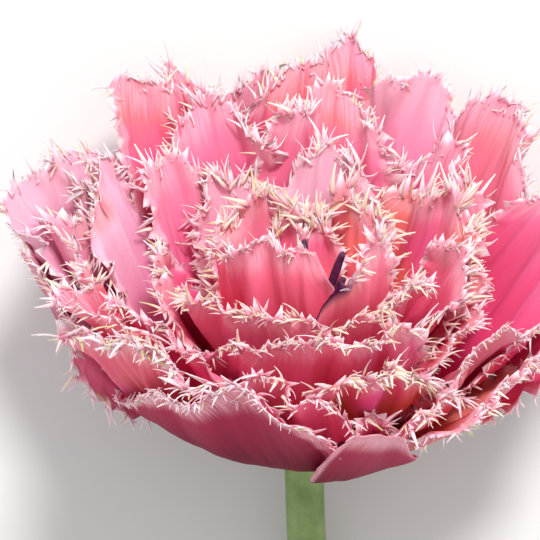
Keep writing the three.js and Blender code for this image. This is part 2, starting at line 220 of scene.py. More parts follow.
def petalPoint(petal, ring, across, along):
    azimuth0, layer, half, reach, slant, flare = petal
    lobe = outline["lobeHeight"] * np.sin(outline["lobes"] * across + azimuth0)
    lobe = lobe * along ** outline["lobeRamp"]
    t = reach * along * (1 - outline["shoulderDrop"] * across ** 2 * along + slant * across + lobe)
    home = ring + (layer - ring) * np.clip(t, 0, 1) ** bowls["ramp"] + flare * along ** bowls["flareRamp"]
    radius = bowlPoint(home, t)[0]
    azimuth = math.radians(azimuth0) + across * half * widthShare(along) / radius
    r, z = bowlPoint(foldedLayer(home, azimuth, t), t)
    return pressed(layDown(r * np.cos(azimuth), r * np.sin(azimuth), z))

def unit(v):
    return v / np.maximum(np.linalg.norm(v, axis=-1, keepdims=True), 1e-9)

def smooth(low, high, x):
    s = np.clip((x - low) / (high - low), 0, 1)
    return s * s * (3 - 2 * s)

def newObject(name, data):
    obj = bpy.data.objects.new(name, data)
    bpy.context.scene.collection.objects.link(obj)
    return obj

def putAttribute(mesh, name, values, kind="FLOAT"):
    layer = mesh.attributes.new(name, kind, "POINT")
    field = "value" if kind == "FLOAT" else "vector"
    layer.data.foreach_set(field, np.ascontiguousarray(values, dtype=np.float32).ravel())

# Petal blades. Sizes and heights in mm, waves as their length or as radians in a mm or a petal's length.
# A pair is where along or across the petal something sets in and where it is full, or the ends of a draw
blade = {
    "rows": 36, "rowsToRim": 1.3,                     # rows stand closer towards the rim
    "columnWidth": 0.62, "fewest": 40, "most": 100, "columnJitter": 0.3,
    "halfThickness": 0.2, "edgeHalf": 0.1,
    "edgeTop": (0.8, 1), "edgeSide": (0.84, 1), "edgeUp": (0.35, 0.6),
    "free": (0.4, 2.5),                               # heights over the table that let the blade move
    "phases": 12, "phaseRange": 6.3,
    "pleat": 0.28, "pleats": [(1.1, 1), (2.3, 0.6), (4.7, 0.35)], "pleatGrow": (0.05, 0.5),
    "bend": 1.4, "bendWave": 3,                       # the pleats wander to and fro
    "crease": 2.0, "creaseWidth": 0.1, "creaseLow": 0.8, "creaseDraw": (-0.3, 1),
    "foldShift": 0.35, "foldWander": 0.12, "foldWave": 2.5,
    "swell": 1.15, "swellWaves": (0.62, 4.5), "swellGrow": (0.2, 0.7),
    "ruffle": 1.0, "ruffleWidth": 6.5, "ruffleDrift": 0.23,
    "second": 0.5, "secondTop": 1.9, "secondSide": 1.7,    # a finer wave on the ruffle
    "topGrow": (0.75, 1), "sideGrow": (0.7, 1), "sideUp": (0.3, 0.6), "ruffleRamp": 1.5,
    "billow": 1.0, "billowWidth": 14, "billowGrow": (0.45, 1),
    "roll": 2.4, "rollDraw": (-0.2, 1), "rollGrow": (0.78, 1), "rollWave": 1.7, "sideRoll": 1.8,
}

# The cut margin: lobes, each a fan of teeth, and larger, shallower jags
margins = {
    "sideFrom": 0.42, "sideLean": 0.55,    # where the sides' teeth start, and how they point up
    "toothLow": 0.8, "toothHigh": 4.4, "toothDraw": 1.3, "toothLeast": 0.45,
    "notch": 0.4, "sideTooth": 0.8, "lean": 0.22, "lift": 0.4, "fan": 0.7,
    "lobeWidth": 5.2, "lobeHeight": 1.3, "lobeSharp": 0.8,
    "drift": 1.3, "driftWave": 0.31, "vary": 0.35, "varyWave": 0.43,    # lobes of unlike width and height
    "jagWidth": 12, "jagHeight": 1.1, "peak": 2.6, "peakWidth": 0.22, "peakGrow": (0.7, 1),
    "bare": {"bareLeft": (-0.1, -0.4), "bareRight": (0.82, 0.95), "bareSide": (-0.85, -0.97)},
    "bareFrom": 0.5, "leastFringe": 0.1,    # no teeth where it is barer, or on a petal with less fringe
    # where the painted seam shadow lies along the rim, and the strength from which it keeps the teeth off
    "stainAcross": (0.2, -0.2), "stainUp": (0.9, 1), "stainFrom": 0.2,
    "size": (0.55, 0.75), "sizeRange": (0.4, 1.3),    # the fringe's length between lobes, and more on them
    "ownTip": 0.7,    # how far the blade's own teeth take the fringe's colour
}

# across runs from -1 to 1 and along from the foot, 0, to the rim, 1; place and down are mm from the
# midline and below the rim
def bladeGrid(petal, ring, dice):
    half = petal[2]
    columns = 2 * int(np.clip(half / blade["columnWidth"], blade["fewest"] / 2, blade["most"] / 2))
    u = np.linspace(-1, 1, columns + 1)
    u[1:-1] += dice.uniform(-blade["columnJitter"], blade["columnJitter"], columns - 1) * 2 / columns
    v = 1 - (1 - np.linspace(0, 1, blade["rows"] + 1)) ** blade["rowsToRim"]
    across, along = np.meshgrid(u, v)
    middle = petalPoint(petal, ring, across, along)
    stepAcross = unit(np.gradient(middle, axis=1))
    stepAlong = unit(np.gradient(middle, axis=0))
    length = np.linalg.norm(np.diff(middle[:, columns // 2], axis=0), axis=1).sum()
    return SimpleNamespace(
        across=across, along=along, middle=middle, stepAcross=stepAcross, stepAlong=stepAlong,
        normal=unit(np.cross(stepAcross, stepAlong)), free=smooth(*blade["free"], middle[..., 2]),
        phase=dice.uniform(0, blade["phaseRange"], blade["phases"]),
        place=across * half * widthShare(along), down=(1 - along) * length)

def bladeRelief(grid, look, dice):
    across, along, place, down, phase = grid.across, grid.along, grid.place, grid.down, grid.phase
    bend = place + blade["bend"] * np.sin(blade["bendWave"] * along + phase[0])
    pleats = enumerate(blade["pleats"], 1)
    pleat = sum(share * np.sin(wave * bend + phase[k]) for k, (wave, share) in pleats)
    pleat = pleat * blade["pleat"] * smooth(*blade["pleatGrow"], along)
    fold = dice.uniform(-blade["foldShift"], blade["foldShift"])
    foldLine = across - fold - blade["foldWander"] * np.sin(blade["foldWave"] * along + phase[2])
    crease = np.exp(-(foldLine / blade["creaseWidth"]) ** 2) * np.sin(np.pi * along ** blade["creaseLow"])
    crease = crease * blade["crease"] * dice.uniform(*blade["creaseDraw"])
    waveAcross, waveAlong = blade["swellWaves"]
    swell = np.sin(waveAcross * place + phase[7]) * np.sin(waveAlong * along + phase[8])
    swell = swell * blade["swell"] * smooth(*blade["swellGrow"], along)

    wave = 2 * np.pi / blade["ruffleWidth"]
    drift = np.sin(blade["ruffleDrift"] * place + phase[5])
    topSecond = blade["second"] * np.sin(blade["secondTop"] * wave * place + phase[6])
    topWave = np.sin(wave * place + phase[4] + drift) + topSecond
    sideSecond = blade["second"] * np.sin(blade["secondSide"] * wave * down + phase[10])
    sideWave = np.sin(wave * down + phase[9]) + sideSecond
    slow = 2 * np.pi / blade["billowWidth"]
    billow = np.sin(slow * place + phase[6]) * smooth(*blade["billowGrow"], along)
    billow = billow * blade["billow"] * look["billow"]
    atTop = smooth(*blade["topGrow"], along) ** blade["ruffleRamp"]
    atSide = smooth(*blade["sideGrow"], np.abs(across)) ** blade["ruffleRamp"]
    atSide = atSide * smooth(*blade["sideUp"], along) * (1 - atTop)
    ruffle = (topWave * atTop + sideWave * atSide) * blade["ruffle"]
    roll = dice.uniform(*blade["rollDraw"]) * blade["roll"] * smooth(*blade["rollGrow"], along) ** 2
    roll = roll * np.sin(blade["rollWave"] * across + phase[11])
    sideRoll = dice.uniform(-1, 1, 2)[(across > 0).astype(int)] * blade["sideRoll"] * atSide
    face = (pleat + crease + swell) * (1 - look["plain"])
    return face + billow + (ruffle + roll + sideRoll) * look["ruffle"], foldLine

# Pulls the margin out into lobes and teeth; own marks the tips of the blade's own teeth
def cutMargin(grid, foldLine, look, dice):
    across, along, place, phase = grid.across, grid.along, grid.place, grid.phase
    stepAcross, stepAlong = grid.stepAcross, grid.stepAlong
    margin = np.zeros(across.shape)
    margin[-1] = 1
    sides = along[:, 0] > margins["sideFrom"]
    margin[sides, 0] = margin[sides, -1] = 1
    outward = stepAlong.copy()
    for column, sign in ((0, -1), (-1, 1)):
        upward = margins["sideLean"] * stepAlong[:-1, column]
        outward[:-1, column] = unit(sign * stepAcross[:-1, column] + upward)
        outward[-1, column] = unit(sign * stepAcross[-1, column] + stepAlong[-1, column])

    rimPlace = place.copy()
    rimPlace[:, 0] -= grid.down[:, 0]
    rimPlace[:, -1] += grid.down[:, -1]
    drift = margins["drift"] * np.sin(margins["driftWave"] * rimPlace + phase[3])
    turn = 2 * np.pi * rimPlace / margins["lobeWidth"] + drift
    vary = margins["vary"]
    uneven = 1 - vary + vary * np.sin(margins["varyWave"] * rimPlace + phase[0])
    lobe = (0.5 + 0.5 * np.cos(turn)) ** margins["lobeSharp"] * uneven
    atTop = smooth(*margins["peakGrow"], along)
    onFold = np.exp(-(foldLine / margins["peakWidth"]) ** 2)
    peak = margins["peak"] * dice.uniform(0, 1) * onFold * atTop
    jag = margins["jagHeight"] * np.sin(2 * np.pi * place / margins["jagWidth"] + phase[8]) * atTop
    fan = np.sin(turn)[..., None] * stepAcross * margins["fan"]
    outward = unit(outward + fan * margin[..., None])

    bare = [look[key] * smooth(*ends, across) for key, ends in margins["bare"].items()]
    bare = np.maximum.reduce(bare)
    toothed = (bare < margins["bareFrom"]) * (look["fringe"] > margins["leastFringe"])
    low, high = margins["toothLow"], margins["toothHigh"]
    tooth = margins["notch"] * low * dice.uniform(0, 1, margin.shape)
    drawn = dice.uniform(0, 1, margin.shape) ** margins["toothDraw"]
    drawn = low + (high - low) * drawn * (margins["toothLeast"] + lobe)
    own = np.zeros(margin.shape)
    tooth[-1, 1::2] = drawn[-1, 1::2]
    own[-1, 1::2] = 1
    for column in (0, -1):
        tooth[1::2, column] = drawn[1::2, column] * margins["sideTooth"]
        own[1::2, column] = 1
    own *= margin * toothed
    lean = stepAcross * dice.uniform(-margins["lean"], margins["lean"], margin.shape)[..., None]
    lift = dice.uniform(-margins["lift"], margins["lift"], margin.shape) * grid.free
    way = unit(outward + lean + grid.normal * lift[..., None])
    cut = margin * (tooth + margins["lobeHeight"] * lobe) * look["fringe"] * (1 - bare)
    grid.middle += stepAlong * ((peak + jag) * look["billow"])[..., None]
    grid.middle += way * cut[..., None]
    return SimpleNamespace(margin=margin, own=own, toothed=toothed, lobe=lobe, outward=outward)

def bladeFaces(own):
    count = own.size
    index = np.arange(count).reshape(own.shape)
    front = []
    for i in range(own.shape[0] - 1):
        for j in range(own.shape[1] - 1):
            a, b = int(index[i, j]), int(index[i, j + 1])
            d, c = int(index[i + 1, j]), int(index[i + 1, j + 1])
            if own[i, j] or own[i + 1, j + 1]:    # a tooth's tip stands in one triangle only
                front += [[a, b, d], [b, c, d]]
            elif own[i, j + 1] or own[i + 1, j]:
                front += [[a, b, c], [a, c, d]]
            else:
                front.append([a, b, c, d])
    back = [[v + count for v in reversed(face)] for face in front]
    rim = np.concatenate([index[0, :], index[1:, -1], index[-1, -2::-1], index[-2:0:-1, 0]])
    after = np.roll(rim, -1)
    wall = np.stack([after, rim, rim + count, after + count], -1).tolist()
    return front + back, wall

def petalBlade(name, petal, ring, look, dice):
    grid = bladeGrid(petal, ring, dice)
    across, along = grid.across, grid.along
    shaped, foldLine = bladeRelief(grid, look, dice)
    grid.middle += grid.normal * (shaped * grid.free)[..., None]
    facing = unit(np.cross(np.gradient(grid.middle, axis=1), np.gradient(grid.middle, axis=0)))
    cut = cutMargin(grid, foldLine, look, dice)
    atSide = smooth(*blade["edgeSide"], np.abs(across)) * smooth(*blade["edgeUp"], along)
    edge = np.maximum(smooth(*blade["edgeTop"], along), atSide)
    thick = blade["halfThickness"] + (blade["edgeHalf"] - blade["halfThickness"]) * edge
    side = facing * thick[..., None]
    outer, inner = grid.middle + side, grid.middle - side
    for face in (outer, inner):    # nothing goes below the table, and teeth are mirrored up from it
        face[..., 2] = np.where(cut.own > 0, np.abs(face[..., 2]), np.maximum(face[..., 2], 0))
    faces, wall = bladeFaces(cut.own)
    mesh = bpy.data.meshes.new(name)
    corners = np.concatenate([outer.reshape(-1, 3), inner.reshape(-1, 3)]) * mm
    mesh.from_pydata(corners.tolist(), [], faces + wall)
    mesh.polygons.foreach_set("use_smooth", [True] * len(faces) + [False] * len(wall))
    mesh.update()

    # where the fringe stands: thick on the margin, thin on the two rows below it
    # a dark mark along part of the rim, a painted shadow of the seam beside it; no teeth stand there
    stain = look["stain"] * smooth(*margins["stainAcross"], across) * smooth(*margins["stainUp"], along)
    hosts = (cut.margin * cut.toothed - cut.own) * (stain < margins["stainFrom"])
    band = np.zeros(across.shape)
    band[-3:-1, 2:-2] = look["tuft"] * cut.toothed[-3:-1, 2:-2]
    least, more = margins["size"]
    size = np.clip(least + more * cut.lobe, *margins["sizeRange"])
    tints = {key: np.full_like(across, look[key]) for key in ("pale", "warm", "cream", "green", "dusk")}
    onBoth = {"across": across, "along": along, "edge": edge, "long": size, **tints,
              "stain": stain, "tip": cut.own * margins["ownTip"], "band": band}
    for key, values in onBoth.items():
        putAttribute(mesh, key, np.tile(values.reshape(-1), 2))
    putAttribute(mesh, "outside", np.repeat([1.0, 0.0], across.size))
    putAttribute(mesh, "margin", np.concatenate([hosts.reshape(-1), np.zeros(across.size)]))
    for key, values in {"outward": cut.outward, "leaf": grid.normal, "sideways": grid.stepAcross}.items():
        putAttribute(mesh, key, np.tile(values.reshape(-1, 3), (2, 1)), "FLOAT_VECTOR")
    return mesh

def fillInputs(tree, node, inputs):
    for key, value in inputs.items():
        if isinstance(value, bpy.types.NodeSocket):
            tree.links.new(value, node.inputs[key])
        else:
            node.inputs[key].default_value = value

def nodeTools(tree):
    def add(kind, inputs=(), **values):
        node = tree.nodes.new(kind)
        for key, value in values.items():
            setattr(node, key, value)
        fillInputs(tree, node, dict(inputs))
        return node

    def maths(operation, a, b):
        return add("ShaderNodeMath", {0: a, 1: b}, operation=operation).outputs[0]

    def times(first, *others):
        for other in others:
            first = maths("MULTIPLY", first, other)
        return first
    return add, maths, times

# Teeth of the fringe: flat, tapering and bent. Lengths and widths in mm, twist in radians
fringe = {
    "copies": 3, "length": 5.1, "width": 0.45, "slimming": 0.5,    # a shorter fringe is slimmer too
    "tip": 0.2, "curl": 10, "spread": 0.75, "lift": 0.5, "jitter": 0.8,
    "sides": 5, "segments": 4, "flat": 0.4, "twist": 1.3, "waist": 0.5, "waistTop": 0.16,
    "rootDraw": (-1.6, -0.3),                 # in jitters: the roots stand a little inside the rim
    "bandDraw": (0.001, 1), "bandLift": 5,    # for the teeth below the rim, which stand up more
    "shortest": 0.25, "lengthDraw": 0.88, "lengthRamp": 1.5, "widthDraw": (0.5, 1.15), "widthLeast": 0.6,
    "seeds": {"band": 5, "shift": 11, "root": 12, "spread": 21, "lift": 22, "twist": 23,
              "length": 31, "width": 32, "tint": 41},
}

def fringeTree():
    tree = bpy.data.node_groups.new("petalFringe", "GeometryNodeTree")

    def socket(name, kind, value=None, way="INPUT"):
        made = tree.interface.new_socket(name=name, in_out=way, socket_type="NodeSocket" + kind)
        if value is not None:
            made.default_value = value

    socket("Geometry", "Geometry")
    socket("Tooth length", "Float", fringe["length"] * mm)
    socket("Tooth width", "Float", fringe["width"] * mm)
    socket("Curl", "Float", fringe["curl"])
    socket("Spread", "Float", fringe["spread"])
    socket("Lift", "Float", fringe["lift"])
    socket("Jitter", "Float", fringe["jitter"] * mm)
    socket("Copies", "Int", fringe["copies"])
    socket("Seed", "Int", 0)
    socket("Material", "Material")
    socket("Geometry", "Geometry", way="OUTPUT")
    add, maths, times = nodeTools(tree)
    given = add("NodeGroupInput").outputs

    def named(name, kind="FLOAT"):
        return add("GeometryNodeInputNamedAttribute", {"Name": name}, data_type=kind).outputs["Attribute"]

    def dice(low, high, key):
        seed = maths("ADD", given["Seed"], fringe["seeds"][key])
        inputs = {2: low, 3: high, "Seed": seed}
        return add("FunctionNodeRandomValue", inputs, data_type="FLOAT").outputs[1]

    def scaled(vector, factor):
        return add("ShaderNodeVectorMath", {0: vector, "Scale": factor}, operation="SCALE").outputs[0]

    def plus(a, b):
        return add("ShaderNodeVectorMath", {0: a, 1: b}, operation="ADD").outputs[0]

    def over(value, limit):
        return add("FunctionNodeCompare", {0: value, 1: limit},
                   data_type="FLOAT", operation="GREATER_THAN").outputs[0]

    def join(*parts):
        joined = add("GeometryNodeJoinGeometry")
        for part in parts:
            tree.links.new(part, joined.inputs[0])
        return joined.outputs[0]

    outward, leaf, sideways = (named(name, "FLOAT_VECTOR") for name in ("outward", "leaf", "sideways"))
    position = add("GeometryNodeInputPosition").outputs[0]
    height = add("ShaderNodeSeparateXYZ", {0: position}).outputs["Z"]

    # roots: several on each point of the margin, a few on the face just below it
    onMargin = over(named("margin"), 0.5)
    onBand = over(named("band"), dice(*fringe["bandDraw"], "band"))
    rim = add("GeometryNodeMeshToPoints", {"Mesh": given["Geometry"], "Selection": onMargin}).outputs[0]
    rim = add("GeometryNodeDuplicateElements", {0: rim, "Amount": given["Copies"]},
              domain="POINT").outputs[0]
    face = add("GeometryNodeMeshToPoints", {"Mesh": given["Geometry"], "Selection": onBand}).outputs[0]
    shift = plus(scaled(sideways, times(dice(-1, 1, "shift"), given["Jitter"])),
                 scaled(outward, times(dice(*fringe["rootDraw"], "root"), given["Jitter"])))
    roots = add("GeometryNodeSetPosition", {0: join(rim, face), "Offset": shift}).outputs[0]

    # one tooth: a flat closed cone that bends out of its plane towards its tip
    cone = add("GeometryNodeMeshCone", {
        "Vertices": fringe["sides"], "Side Segments": fringe["segments"],
        "Radius Top": fringe["tip"], "Radius Bottom": 1, "Depth": 1}, fill_type="NGON").outputs["Mesh"]
    slim = add("ShaderNodeMapRange", {"Value": height, "From Max": fringe["waistTop"],
                                      "To Min": fringe["waist"], "To Max": 1.0}).outputs[0]
    narrow = add("ShaderNodeCombineXYZ", {"X": slim, "Y": slim, "Z": 1.0}).outputs[0]
    shaped = add("ShaderNodeVectorMath", {0: position, 1: narrow}, operation="MULTIPLY").outputs[0]
    bend = add("ShaderNodeCombineXYZ", {"Y": times(height, height, given["Curl"])}).outputs[0]
    bent = add("GeometryNodeSetPosition", {0: cone, "Position": shaped, "Offset": bend}).outputs[0]
    soft = add("GeometryNodeSetShadeSmooth", {0: bent, "Shade Smooth": True}, domain="FACE").outputs[0]
    single = add("GeometryNodeStoreNamedAttribute", {0: soft, "Name": "tip", "Value": height},
                 data_type="FLOAT", domain="POINT").outputs[0]

    # the way that each tooth points, flat side along the petal, and its size
    raised = maths("ADD", 1, times(named("band"), fringe["bandLift"]))
    way = plus(outward, plus(scaled(sideways, times(dice(-1, 1, "spread"), given["Spread"])),
                             scaled(leaf, times(dice(-1, 1, "lift"), given["Lift"], raised))))
    align = add("FunctionNodeAlignRotationToVector", {"Vector": way}, axis="Z").outputs[0]
    flat = add("FunctionNodeAlignRotationToVector", {"Rotation": align, "Vector": leaf},
               axis="Y", pivot_axis="Z").outputs[0]
    twist = dice(-fringe["twist"], fringe["twist"], "twist")
    spin = add("FunctionNodeAxisAngleToRotation", {"Angle": twist}).outputs[0]
    turned = add("FunctionNodeRotateRotation", {0: flat, 1: spin}, rotation_space="LOCAL").outputs[0]
    drawn = maths("POWER", dice(0, fringe["lengthDraw"], "length"), fringe["lengthRamp"])
    short = maths("ADD", fringe["shortest"], drawn)
    length = times(short, given["Tooth length"], named("long"))
    stout = maths("ADD", fringe["widthLeast"], short)
    width = times(given["Tooth width"], dice(*fringe["widthDraw"], "width"), stout)
    thick = times(width, fringe["flat"])
    size = add("ShaderNodeCombineXYZ", {"X": width, "Y": thick, "Z": length}).outputs[0]
    placed = add("GeometryNodeInstanceOnPoints", {"Points": roots, "Instance": single,
                                                  "Rotation": turned, "Scale": size}).outputs[0]
    tint = dice(0, 1, "tint")
    tinted = add("GeometryNodeStoreNamedAttribute", {0: placed, "Name": "tint", "Value": tint},
                 data_type="FLOAT", domain="INSTANCE").outputs[0]
    real = add("GeometryNodeRealizeInstances", {0: tinted}).outputs[0]

    # what would stand in the table is mirrored up from it
    rise = add("ShaderNodeCombineXYZ", {"Z": maths("MAXIMUM", times(height, -2), 0)}).outputs[0]
    above = add("GeometryNodeSetPosition", {0: real, "Offset": rise}).outputs[0]
    whole = join(given["Geometry"], above)
    finish = add("GeometryNodeSetMaterial", {0: whole, "Material": given["Material"]}).outputs[0]
    add("NodeGroupOutput", {0: finish})
    return tree

def growFringe(obj, tree, values):
    modifier = obj.modifiers.new("fringe", "NODES")
    modifier.node_group = tree
    for item in tree.interface.items_tree:
        if item.in_out == "INPUT" and item.name in values:
            modifier[item.identifier] = values[item.name]
    graph = bpy.context.evaluated_depsgraph_get()
    mesh = bpy.data.meshes.new_from_object(obj.evaluated_get(graph))
    obj.modifiers.remove(modifier)
    old = obj.data
    obj.data = mesh
    bpy.data.meshes.remove(old)
    mesh.name = obj.name

# Finishes. Colours are linear
petalFinish = {
    "claw": (0.93, 0.66, 0.50, 1), "deep": (0.90, 0.03, 0.25, 1), "face": (0.92, 0.11, 0.31, 1),
    "rim": (0.92, 0.25, 0.43, 1), "vein": (0.90, 0.06, 0.29, 1),
    "coral": (0.94, 0.22, 0.16, 1), "lilac": (0.93, 0.55, 0.72, 1), "dusk": (0.58, 0.20, 0.46, 1),
    "backLow": (0.74, 0.045, 0.25, 1), "backHigh": (0.88, 0.12, 0.33, 1), "margin": (0.95, 0.50, 0.60, 1),
    "toothRoot": (0.98, 0.36, 0.48, 1), "tooth": (0.99, 0.76, 0.82, 1),
    "creamTooth": (0.99, 0.80, 0.65, 1), "greenTip": (0.62, 0.60, 0.26, 1),
    "stain": (0.08, 0.006, 0.07, 1),
    "blush": 0.7, "glow": 0.4, "backFrom": 0.1, "feather": 1.1,
}
whorlFinish = {
    # the outer petals' backs, lying under the bloom, go near black towards the foot: painted shade
    "outer": {"backLow": (0.12, 0.008, 0.022, 1), "backHigh": (0.43, 0.032, 0.09, 1),
              "vein": (0.5, 0.02, 0.07, 1), "blush": 0.2, "backFrom": 0.45, "feather": 0.5},
    "second": {"backLow": (0.68, 0.045, 0.22, 1), "backHigh": (0.82, 0.12, 0.31, 1)},
    "third": {},
    "fourth": {"backHigh": (0.89, 0.14, 0.33, 1)},
    "fifth": {"face": (0.93, 0.16, 0.31, 1), "backHigh": (0.95, 0.20, 0.34, 1)},
    "inner": {"face": (0.93, 0.16, 0.31, 1), "backLow": (0.90, 0.10, 0.22, 1),
              "backHigh": (0.94, 0.20, 0.32, 1)},
}

# Where each colour of a petal sets in and is full, how strong it is, and the noises that break it up
petalPattern = {
    "streaks": (26.0, 2.2),    # how dense they are across and along
    "streak": (1.0, 4.0, 0.62), "fine": (3.3, 3.0, 0.6), "patch": (48.0, 3.0, 0.55),
    "deepFrom": (0.06, 0.3), "faceFrom": (0.25, 0.7), "rimFrom": (0.6, 1.0), "rim": 0.7,
    "frontVeins": (0.45, 0.75), "frontVein": 0.35, "backVeins": (0.4, 0.7), "backVein": 0.2,
    "coralPatches": (0.3, 0.62), "lilacFrom": (0.2, 0.9),
    "duskBelow": (0.9, 0.55), "duskPatches": (0.3, 0.6),
    "blushEdge": (0.1, 0.55), "blushPatches": (0.5, 0.66),
    "marginEdge": (0.12, 0.9), "marginStreaks": (0.25, 0.6), "margin": 0.8,
    "creamFrom": 0.9, "creamFull": 1.1, "greenFrom": 0.94, "greenTips": (0.25, 0.8),
    "toothFrom": (0.0, 0.25), "paleTooth": (0.0, 0.45),
    "bump": 0.17, "bumpHeight": 0.0004, "bumpFine": 0.4,
    "rough": 0.55, "glossyEdge": 0.14, "specular": 0.03,
    "glowRadius": (1.0, 0.55, 0.65), "glowScale": 0.0005,
}

def startMaterial(name):
    material = bpy.data.materials.new(name)
    material.use_nodes = True
    tree = material.node_tree
    tree.nodes.clear()
    shader = tree.nodes.new("ShaderNodeBsdfPrincipled")
    tree.links.new(shader.outputs[0], tree.nodes.new("ShaderNodeOutputMaterial").inputs[0])
    return material, tree, shader

def colourTools(add):
    def step(value, low, high):
        return add("ShaderNodeMapRange", {"Value": value, "From Min": low, "From Max": high},
                   interpolation_type="SMOOTHSTEP").outputs["Result"]

    def mix(factor, a, b):
        return add("ShaderNodeMix", {"Factor": factor, 6: a, 7: b}, data_type="RGBA").outputs[2]

    def noise(vector, scale, detail, rough):
        sizes = {"Vector": vector, "Scale": scale, "Detail": detail, "Roughness": rough}
        return add("ShaderNodeTexNoise", sizes).outputs[0]
    return step, mix, noise

def petalMaterial(name, look, seed):
    material, tree, shader = startMaterial(name)
    add, maths, times = nodeTools(tree)
    step, mix, noise = colourTools(add)
    pattern = petalPattern

    def read(attribute):
        return add("ShaderNodeAttribute", attribute_name=attribute).outputs["Fac"]

    along, across, edge, tip, tint = (read(key) for key in ("along", "across", "edge", "tip", "tint"))

    # streaks run from the claw to the rim
    acrossScale, alongScale = pattern["streaks"]
    lengthwise = add("ShaderNodeCombineXYZ", {
        0: times(across, acrossScale), 1: times(along, alongScale), 2: seed}).outputs[0]
    streak = noise(lengthwise, *pattern["streak"])
    fine = noise(lengthwise, *pattern["fine"])
    patch = noise(add("ShaderNodeTexCoord").outputs["Object"], *pattern["patch"])

    # deeper, more saturated pink low on the petal: partly its own colour, partly painted shade of the gaps
    # between petals
    inside = mix(step(along, *pattern["deepFrom"]), look["claw"], look["deep"])
    inside = mix(step(along, *pattern["faceFrom"]), inside, look["face"])
    # lighter pink towards the rim: partly the petal's own colour, partly a painted highlight
    inside = mix(times(step(along, *pattern["rimFrom"]), pattern["rim"]), inside, look["rim"])
    inside = mix(times(step(streak, *pattern["frontVeins"]), pattern["frontVein"]), inside, look["vein"])
    # the backs darken towards the foot: painted shade, strongest on the outer whorl
    backs = mix(step(along, look["backFrom"], 1.0), look["backLow"], look["backHigh"])
    backs = mix(times(step(streak, *pattern["backVeins"]), pattern["backVein"]), backs, look["vein"])
    body = mix(read("outside"), inside, backs)
    body = mix(times(read("warm"), step(patch, *pattern["coralPatches"])), body, look["coral"])
    # paler lilac on some petals: partly their own tint, partly a painted highlight and painted light where
    # they lie in shade
    body = mix(times(read("pale"), step(along, *pattern["lilacFrom"])), body, look["lilac"])
    # mauve darkening low on some petals, in patches: painted shade
    low = times(step(along, *pattern["duskBelow"]), step(patch, *pattern["duskPatches"]))
    body = mix(times(read("dusk"), low), body, look["dusk"])
    blush = times(step(edge, *pattern["blushEdge"]), step(patch, *pattern["blushPatches"]), look["blush"])
    body = mix(blush, body, look["coral"])

    # the pale margin, partly the petal's own colour and partly a painted highlight, runs down into the
    # face in feathered streaks
    feathered = maths("ADD", edge, times(maths("SUBTRACT", streak, 0.5), look["feather"]))
    light = times(step(feathered, *pattern["marginEdge"]), step(fine, *pattern["marginStreaks"]))
    body = mix(times(light, pattern["margin"]), body, look["margin"])

    # teeth: pale or cream, some with green tips
    cream = read("cream")
    creamFrom = maths("SUBTRACT", pattern["creamFrom"], cream)
    creamFull = maths("SUBTRACT", pattern["creamFull"], cream)
    upper = mix(step(tint, creamFrom, creamFull), look["tooth"], look["creamTooth"])
    tooth = mix(step(tip, *pattern["paleTooth"]), look["toothRoot"], upper)
    greenFrom = maths("SUBTRACT", pattern["greenFrom"], read("green"))
    greenish = times(step(tint, greenFrom, 1.0), step(tip, *pattern["greenTips"]))
    body = mix(step(tip, *pattern["toothFrom"]), body, mix(greenish, tooth, look["greenTip"]))
    # the dark mark on the rim: painted shadow of the seam
    body = mix(read("stain"), body, look["stain"])
    height = maths("ADD", streak, times(fine, pattern["bumpFine"]))
    relief = add("ShaderNodeBump", {
        "Strength": pattern["bump"], "Distance": pattern["bumpHeight"], "Height": height})
    fillInputs(tree, shader, {
        "Base Color": body, "Normal": relief.outputs[0], "Specular IOR Level": pattern["specular"],
        "Roughness": maths("SUBTRACT", pattern["rough"], times(edge, pattern["glossyEdge"])),
        "Subsurface Weight": look["glow"], "Subsurface Radius": pattern["glowRadius"],
        "Subsurface Scale": pattern["glowScale"]})
    return material

# Stem, pistil and stamens: two colours in soft spots
plainFinish = {
    "pistilGreen": {"low": (0.40, 0.50, 0.14, 1), "high": (0.62, 0.66, 0.30, 1),
                    "density": 400, "rough": 0.45, "glow": 0.2},
    "antherPurple": {"low": (0.03, 0.004, 0.03, 1), "high": (0.13, 0.012, 0.10, 1),
                     "density": 900, "rough": 0.6, "glow": 0},
    "stemGreen": {"low": (0.16, 0.27, 0.07, 1), "high": (0.28, 0.40, 0.14, 1),
                  "density": 160, "rough": 0.42, "glow": 0.15},
}
plainPattern = {
    "detail": 5.0, "noiseRough": 0.6, "spots": (0.3, 0.7), "bump": 0.3, "bumpHeight": 0.0003,
    "glowRadius": (0.6, 1.0, 0.3), "glowScale": 0.0015,
}

def plainMaterial(name):
    look, pattern = plainFinish[name], plainPattern
    material, tree, shader = startMaterial(name)
    add = nodeTools(tree)[0]
    step, mix, noise = colourTools(add)
    place = add("ShaderNodeTexCoord").outputs["Object"]
    spots = noise(place, look["density"], pattern["detail"], pattern["noiseRough"])
    relief = add("ShaderNodeBump", {
        "Strength": pattern["bump"], "Distance": pattern["bumpHeight"], "Height": spots})
    fillInputs(tree, shader, {
        "Base Color": mix(step(spots, *pattern["spots"]), look["low"], look["high"]),
        "Normal": relief.outputs[0], "Roughness": look["rough"], "Subsurface Weight": look["glow"],
        "Subsurface Radius": pattern["glowRadius"], "Subsurface Scale": pattern["glowScale"]})
    return material

